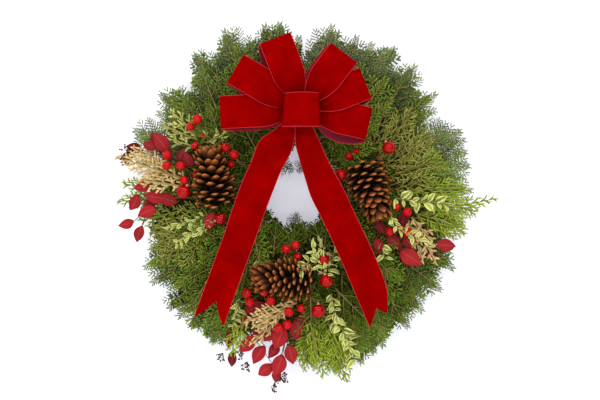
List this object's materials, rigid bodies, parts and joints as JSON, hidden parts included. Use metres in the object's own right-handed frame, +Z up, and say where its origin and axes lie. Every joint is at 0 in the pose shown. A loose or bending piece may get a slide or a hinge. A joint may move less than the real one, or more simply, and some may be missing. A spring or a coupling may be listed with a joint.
{
  "type": "evergreen wreath",
  "caption": "Fresh fir wreath on a wire ring frame, with a red velvet bow and tails, pine cones, berries, eucalyptus and small ball ornaments.",
  "frame": {"origin": "hanging point: the inside top of the wire hanging loop, in the plane of the wall behind the wreath", "axes": "+Z up as it hangs, +X to the viewer's right, +Y into the wall; the front faces -Y"},
  "size_m": [0.764, 0.2113, 0.7269],
  "materials": {
    "frame_wire": "dark green painted steel wire",
    "florist_wire": "thin green paddle wire, satin",
    "fir_needles": "fresh fir needles, waxy mid green above and pale below",
    "cedar_spray": "flat scaly cedar foliage, fresh yellow green",
    "juniper_twigs": "fine twiggy juniper, yellow green with brown twigs",
    "golden_cypress": "feathery golden cypress tips",
    "variegated_leaf": "small green leaves with cream edges, satin",
    "gilded_spray": "dried flat spray brushed pale gold",
    "cone_scales": "open pine cone, brown with orange brown scale tips",
    "eucalyptus_leaf": "preserved eucalyptus leaves, matte crimson to maroon",
    "berry_skin": "glossy red berries on thin wires",
    "ornament_gloss": "mirror-glossy red balls with small metal caps",
    "velvet_ribbon": "red velvet with a satin back and wired edges"
  },
  "bodies": {
    "root": {"wire_frame": "frame_wire", "hanging_loop": "frame_wire", "binding_wire": "florist_wire", "bow_wire": "florist_wire", "fir_bough_01": "fir_needles", "fir_bough_02": "fir_needles", "fir_bough_03": "fir_needles", "fir_bough_04": "fir_needles", "fir_bough_05": "fir_needles", "fir_bough_06": "fir_needles", "fir_bough_07": "fir_needles", "fir_bough_08": "fir_needles", "fir_bough_09": "fir_needles", "fir_bough_10": "fir_needles", "bow_loop_left_top": "velvet_ribbon", "bow_loop_left_middle": "velvet_ribbon", "bow_loop_left_low": "velvet_ribbon", "bow_loop_right_top": "velvet_ribbon", "bow_loop_right_middle": "velvet_ribbon", "bow_loop_right_low": "velvet_ribbon", "bow_centre_loop": "velvet_ribbon", "bow_tail_left": "velvet_ribbon", "bow_tail_right": "velvet_ribbon", "pine_cone_left": "cone_scales", "pine_cone_right": "cone_scales", "pine_cone_bottom": "cone_scales", "ornament_ball_left": "ornament_gloss", "ornament_ball_left_low": "ornament_gloss", "ornament_ball_right": "ornament_gloss", "ornament_ball_right_inner": "ornament_gloss", "ornament_ball_bottom_high": "ornament_gloss", "ornament_ball_bottom_mid": "ornament_gloss", "ornament_ball_bottom_low": "ornament_gloss", "berry_pick_left_top": "berry_skin", "berry_pick_left_inner": "berry_skin", "berry_pick_left_outer": "berry_skin", "berry_pick_right_top": "berry_skin", "berry_pick_right": "berry_skin", "berry_pick_bottom_top": "berry_skin", "berry_pick_bottom_left": "berry_skin", "berry_pick_bottom": "berry_skin", "eucalyptus_left_upper": "eucalyptus_leaf", "eucalyptus_left_lower": "eucalyptus_leaf", "eucalyptus_left_inner": "eucalyptus_leaf", "eucalyptus_bottom_left": "eucalyptus_leaf", "eucalyptus_bottom_right": "eucalyptus_leaf", "eucalyptus_right": "eucalyptus_leaf", "cedar_spray_left": "cedar_spray", "cedar_spray_right": "cedar_spray", "cedar_spray_bottom": "cedar_spray", "juniper_spray_left": "juniper_twigs", "juniper_spray_right": "juniper_twigs", "golden_cypress_left": "golden_cypress", "variegated_sprig_left": "variegated_leaf", "variegated_sprig_right": "variegated_leaf", "variegated_sprig_inner": "variegated_leaf", "variegated_sprig_bottom": "variegated_leaf", "gilded_spray_left": "gilded_spray", "gilded_spray_bottom": "gilded_spray", "gilded_spray_right": "gilded_spray"}
  },
  "joints": []
}
